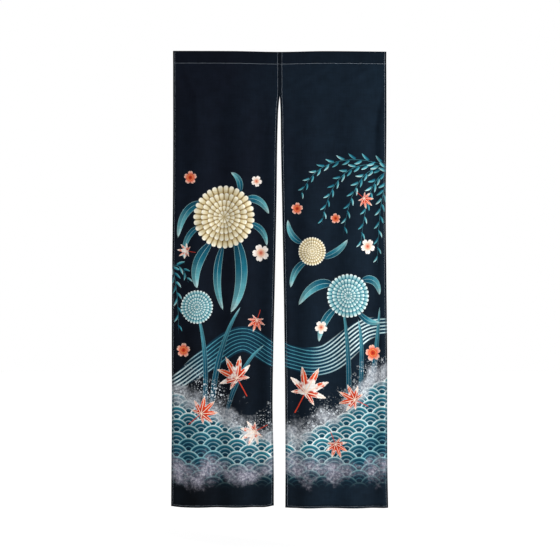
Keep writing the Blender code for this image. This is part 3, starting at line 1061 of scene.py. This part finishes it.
def print_waves(add, under, flat, x, z):
    """A bank of overlapping wave scales, each a fan of rings, that fades out downwards."""
    radius, pitch = WAVE_RADIUS, WAVE_RADIUS / 2
    ceiling = add("CEIL", add("MULTIPLY", z, 1 / pitch))
    low_row = add("ADD", ceiling, -2.0)
    parity = add("FLOORED_MODULO", low_row, 2.0)
    other = add("SUBTRACT", 1.0, parity)
    found = []
    for step, odd in ((0.0, parity), (1.0, other), (2.0, parity)):
        shifted = add("MULTIPLY_ADD", odd, radius, x)
        index = add("ROUND", add("MULTIPLY", shifted, 1 / (2 * radius)))
        off_x = add("MULTIPLY_ADD", index, -2 * radius, shifted)
        centre_x = add("SUBTRACT", x, off_x)
        row = add("ADD", low_row, step)
        centre_z = add("MULTIPLY", row, pitch)
        off_z = add("SUBTRACT", z, centre_z)
        reach = add("VectorMath", add("CombineXYZ", off_x, off_z), operation="LENGTH", out="Value")
        reach = add("MULTIPLY", reach, 1 / radius)
        shown = add("LESS_THAN", centre_z, crest_at(add, centre_x))
        shown = add("MULTIPLY", shown, add("LESS_THAN", reach, 1.0))
        found.append((shown, reach, add("CombineXYZ", index, row)))
    (front, reach, name), (middle, reach2, name2), (back, reach3, name3) = found
    reach = add("Mix", front, None, add("Mix", middle, None, reach3, reach2), reach)
    name = add("MixRGB", front, add("MixRGB", middle, name3, name2), name)
    shown = add("MAXIMUM", add("MAXIMUM", front, middle), back)
    chance = add("TexWhiteNoise", name, noise_dimensions="2D")
    light = add("ValToRGB", reach, colours=WAVE_LIGHT)
    deep = add("ValToRGB", reach, colours=WAVE_DEEP)
    depth = add("SUBTRACT", crest_at(add, x), z)
    depth = add("MapRange", depth, -0.02, 0.24)
    depth = add("MULTIPLY_ADD", chance, 0.45, depth)
    wash = add("TexNoise", flat, None, 9.0, 4.0, 0.6)
    depth = add("MULTIPLY_ADD", wash, 1.1, depth)
    depth = add("ADD", depth, -0.62, use_clamp=True)
    kept = add("MapRange", z, WAVES_END - 0.03, WAVES_END + 0.11, **SMOOTH)
    kept = add("MULTIPLY", kept, shown)
    return add("MixRGB", kept, under, add("MixRGB", depth, light, deep))


def print_spray(add, under, flat, x, z):
    """White-grey mist and flecks of spray, thick along the crest of the waves and thin above it."""
    height = add("SUBTRACT", z, crest_at(add, x))
    above = add("MapRange", height, -0.050, 0.020, **SMOOTH)
    below = add("MapRange", height, 0.020, 0.150, 1.0, 0.0, **SMOOTH)
    band = add("MULTIPLY", above, below)
    cloud = add("TexNoise", flat, None, 13.0, 5.0, 0.62)
    cloud = add("MULTIPLY_ADD", band, 0.36, cloud)
    cloud = add("MapRange", cloud, 0.64, 0.94, **SMOOTH)
    edge = add("MapRange", band, 0.0, 0.2, 0.0, 0.85)
    grain = add("TexNoise", flat, None, 95.0, 3.0, 0.7)
    mist = add("ValToRGB", grain, colours=MIST)
    colour = add("MixRGB", add("MULTIPLY", cloud, edge), under, mist)
    foot = add("COMPARE", z, FOAM_LINE, FOAM_REACH)
    low = add("ABSOLUTE", add("ADD", z, -FOAM_LINE))
    low = add("MapRange", low, 0.0, FOAM_REACH, 1.0, 0.0, **SMOOTH)
    foam = add("TexNoise", flat, None, 8.5, 6.0, 0.66)
    foam = add("MULTIPLY_ADD", low, 0.34, foam)
    foam = add("MapRange", foam, 0.68, 0.98, **SMOOTH)
    dim = add("ValToRGB", grain, colours=FOAM)
    colour = add("MixRGB", add("MULTIPLY", foam, foot), colour, dim)
    near = add("MapRange", height, -0.060, 0.030, **SMOOTH)
    far = add("MapRange", height, 0.020, 0.340, 1.0, 0.0, **SMOOTH)
    reach = add("MULTIPLY", near, far)
    for cells, size in ((60.0, 0.30), (115.0, 0.34)):
        drop = add("TexVoronoi", flat, None, cells, voronoi_dimensions="2D").node.outputs
        chance = add("SeparateXYZ", drop["Color"])
        wide = add("MULTIPLY", chance, size)
        fleck = add("LESS_THAN", drop["Distance"], wide)
        spread = add("TexNoise", flat, None, 11.0, 3.0, 0.6)
        spread = add("MULTIPLY_ADD", reach, 0.50, spread)
        spread = add("MapRange", spread, 0.86, 1.06, 0.0, 0.9)
        colour = add("MixRGB", add("MULTIPLY", fleck, spread), colour, "D5DCE1")
    return colour


def new_finish(name, roughness, specular=0.5):
    """A material, its shader, and what adds its nodes."""
    material = bpy.data.materials.new(name)
    material.use_nodes = True
    shader = material.node_tree.nodes["Principled BSDF"]
    shader.inputs["Roughness"].default_value = roughness
    shader.inputs["Specular IOR Level"].default_value = specular
    return material, shader, partial(add_node, material.node_tree)


def feed(node, name, socket):
    """Links the socket to the node's input of this name."""
    node.id_data.links.new(socket, node.inputs[name])


def printed_polyester():
    """Plain-woven polyester, dyed navy by transfer print: matt, with a faint slub and a paler reverse."""
    material, shader, add = new_finish("printed polyester plain weave", 0.85, 0.06)
    flat = add("UVMap", uv_map="flat cloth")
    x, z, _ = add("SeparateXYZ", flat).node.outputs
    blotch = add("TexNoise", flat, None, 3.5, 3.0, 0.5)
    # Painted light and shade: the right panel's navy is painted lighter and the left panel's darker, and the
    # left darker still towards the bottom. A blotchy random tone blends the two across the middle.
    side = add("MapRange", x, -0.20, 0.20, -0.30, 0.30)
    down = add("MapRange", z, -0.8, -1.7)
    left = add("MixRGB", down, "0F131E", "0A0C10")
    right = add("MixRGB", down, "13202C", "162431")
    ground_with_painted_light = add("MixRGB", add("ADD", blotch, side), left, right)
    colour = print_stream(add, ground_with_painted_light)
    colour = print_blades(add, colour, "reeds", REED_COLOURS)
    colour = print_waves(add, colour, flat, x, z)
    colour = print_spray(add, colour, flat, x, z)
    colour = print_stems(add, colour)
    colour = print_willow(add, colour)
    colour = print_blades(add, colour, "leaves", LEAF_COLOURS)
    colour = print_mums(add, colour)
    colour = print_blossoms(add, colour)
    colour = print_maples(add, colour)
    take_up = add("TexNoise", flat, None, 24.0, 4.0, 0.6)
    take_up = add("MapRange", take_up, 0.32, 0.68, 0.84, 1.12)
    warp = add("VectorMath", flat, (SLUBS_ACROSS, SLUBS_ALONG, 1.0), operation="MULTIPLY")
    weft = add("VectorMath", flat, (SLUBS_ALONG, SLUBS_ACROSS, 1.0), operation="MULTIPLY")
    slub = add("ADD", add("TexNoise", warp, None, 1.0, 2.0), add("TexNoise", weft, None, 1.0, 2.0))
    slub = add("MapRange", slub, 0.7, 1.3, 0.86, 1.14)
    field = add("COMPARE", add("ABSOLUTE", x), PANEL_WIDTH / 2, PANEL_WIDTH / 2 - HEM_TURN + 0.001)
    low = add("GREATER_THAN", z, HEM_TURN - CURTAIN_LENGTH)
    single = add("MapRange", add("MULTIPLY", field, low), 0.0, 1.0, HEM_SHADE, 1.0)
    pocket = add("MapRange", z, -POCKET_DEPTH - 0.002, -POCKET_DEPTH - 0.001, 1.0, POCKET_SHADE)
    for tone in (take_up, slub, add("MULTIPLY", single, pocket)):
        colour = add("VectorMath", colour, None, None, tone, operation="SCALE")
    reverse = add("Attribute", attribute_name="reverse", out="Fac")
    colour = add("MixRGB", reverse, colour, add("MixRGB", 0.12, colour, "7F8DA3"))
    feed(shader, "Base Color", colour)
    over, under = (add("SINE", add("MULTIPLY", place, math.tau / WEAVE_PITCH)) for place in (x, z))
    weave = add("MULTIPLY_ADD", slub, 1.5, add("MULTIPLY", over, under))
    feed(shader, "Normal", add("Bump", 0.25, 0.00008, None, weave))
    return material


def sewing_thread():
    """Spun polyester thread, light grey: a soft sheen, with flecks of shade where its plies twist.

    Two plies at about 850 turns a metre show a turn every 0.6 mm, and the flecks are about that size.
    """
    material, shader, add = new_finish("spun polyester thread", 0.62, 0.3)
    ply = add("TexNoise", add("TexCoord", out="Object"), None, 1400.0, 2.0)
    feed(shader, "Base Color", add("ValToRGB", ply, colours=THREAD))
    return material


def pale_floor():
    """White painted floor, lit up for the camera so that it meets the white studio without a line."""
    material, shader, add = new_finish("white painted floor", 0.9)
    shader.inputs["Base Color"].default_value = linear("F2F2F2")
    shader.inputs["Emission Color"].default_value = linear("FFFFFF")
    glow = add("MULTIPLY", add("LightPath", out="Is Camera Ray"), FLOOR_GLOW)
    feed(shader, "Emission Strength", glow)
    return material


def make_floor():
    shape = bmesh.new()
    bmesh.ops.create_circle(shape, cap_ends=True, segments=96, radius=FLOOR_RADIUS)
    bmesh.ops.translate(shape, verts=shape.verts, vec=(0, 0, TOP_EDGE - CURTAIN_LENGTH - FLOOR_GAP))
    floor = new_object("floor", new_mesh("floor", shape))
    floor.data.materials.append(pale_floor())


def make_camera():
    """Square on to the curtain, through a long lens, framed as the photo is."""
    camera = new_object("camera", bpy.data.cameras.new("camera"))
    camera.data.sensor_width = SENSOR
    camera.data.lens = SENSOR * CAMERA_DISTANCE / FRAME_SIZE
    camera.data.clip_end = 60
    camera.location = (FRAME_CENTRE[0], -CAMERA_DISTANCE, FRAME_CENTRE[1])
    camera.rotation_euler = (math.radians(90), 0, 0)
    bpy.context.scene.camera = camera


def make_lights():
    """A white studio that lights softly from all round, and one tall strip of soft light, front right."""
    key = new_object("strip light", bpy.data.lights.new("strip light", "AREA"))
    key.data.shape = "RECTANGLE"
    key.data.size, key.data.size_y = KEY_SIZE
    key.data.energy = KEY_POWER
    key.visible_camera = False
    key.location = KEY_PLACE
    aim = Vector((0, 0, KEY_PLACE[2])) - key.location
    key.rotation_euler = aim.to_track_quat("-Z", "Y").to_euler()
    world = bpy.data.worlds.new("white studio")
    world.use_nodes = True
    add = partial(add_node, world.node_tree)
    backdrop = world.node_tree.nodes["Background"]
    backdrop.inputs["Color"].default_value = linear("FFFFFF")
    strength = add("MapRange", add("LightPath", out="Is Camera Ray"), 0.0, 1.0, STUDIO_LIGHT, 1.0)
    feed(backdrop, "Strength", strength)
    bpy.context.scene.world = world
    bpy.context.scene.view_settings.view_transform = "Standard"


def mark_print(mesh):
    """Every motif of the print, marked where it lies on the cloth."""
    mark_stream(mesh)
    for name, blades in (("reeds", REED_BLADES), ("leaves", LEAF_BLADES), ("willow stems", WILLOW)):
        mark_blades(mesh, name, blades)
    leaves = willow_leaves()
    for name, discs in (
        ("willow leaves", leaves), ("mums", MUMS), ("blossoms", BLOSSOMS), ("maples", MAPLES)
    ):
        mark_discs(mesh, name, discs)


def main():
    cloth_finish = printed_polyester()
    thread_finish = sewing_thread()
    for panel in (LEFT, RIGHT):
        hung = hang_cloth(panel)
        cloth = make_cloth(panel, hung)
        mark_print(cloth.data)
        cloth.data.materials.append(cloth_finish)
        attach(cloth, "root")
        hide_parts(panel.name + "_panel", panel.name + "_heading")
        stitches = make_stitches(panel, hung)
        stitches.data.materials.append(thread_finish)
        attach(stitches, "root")


main()
make_floor()
make_camera()
make_lights()
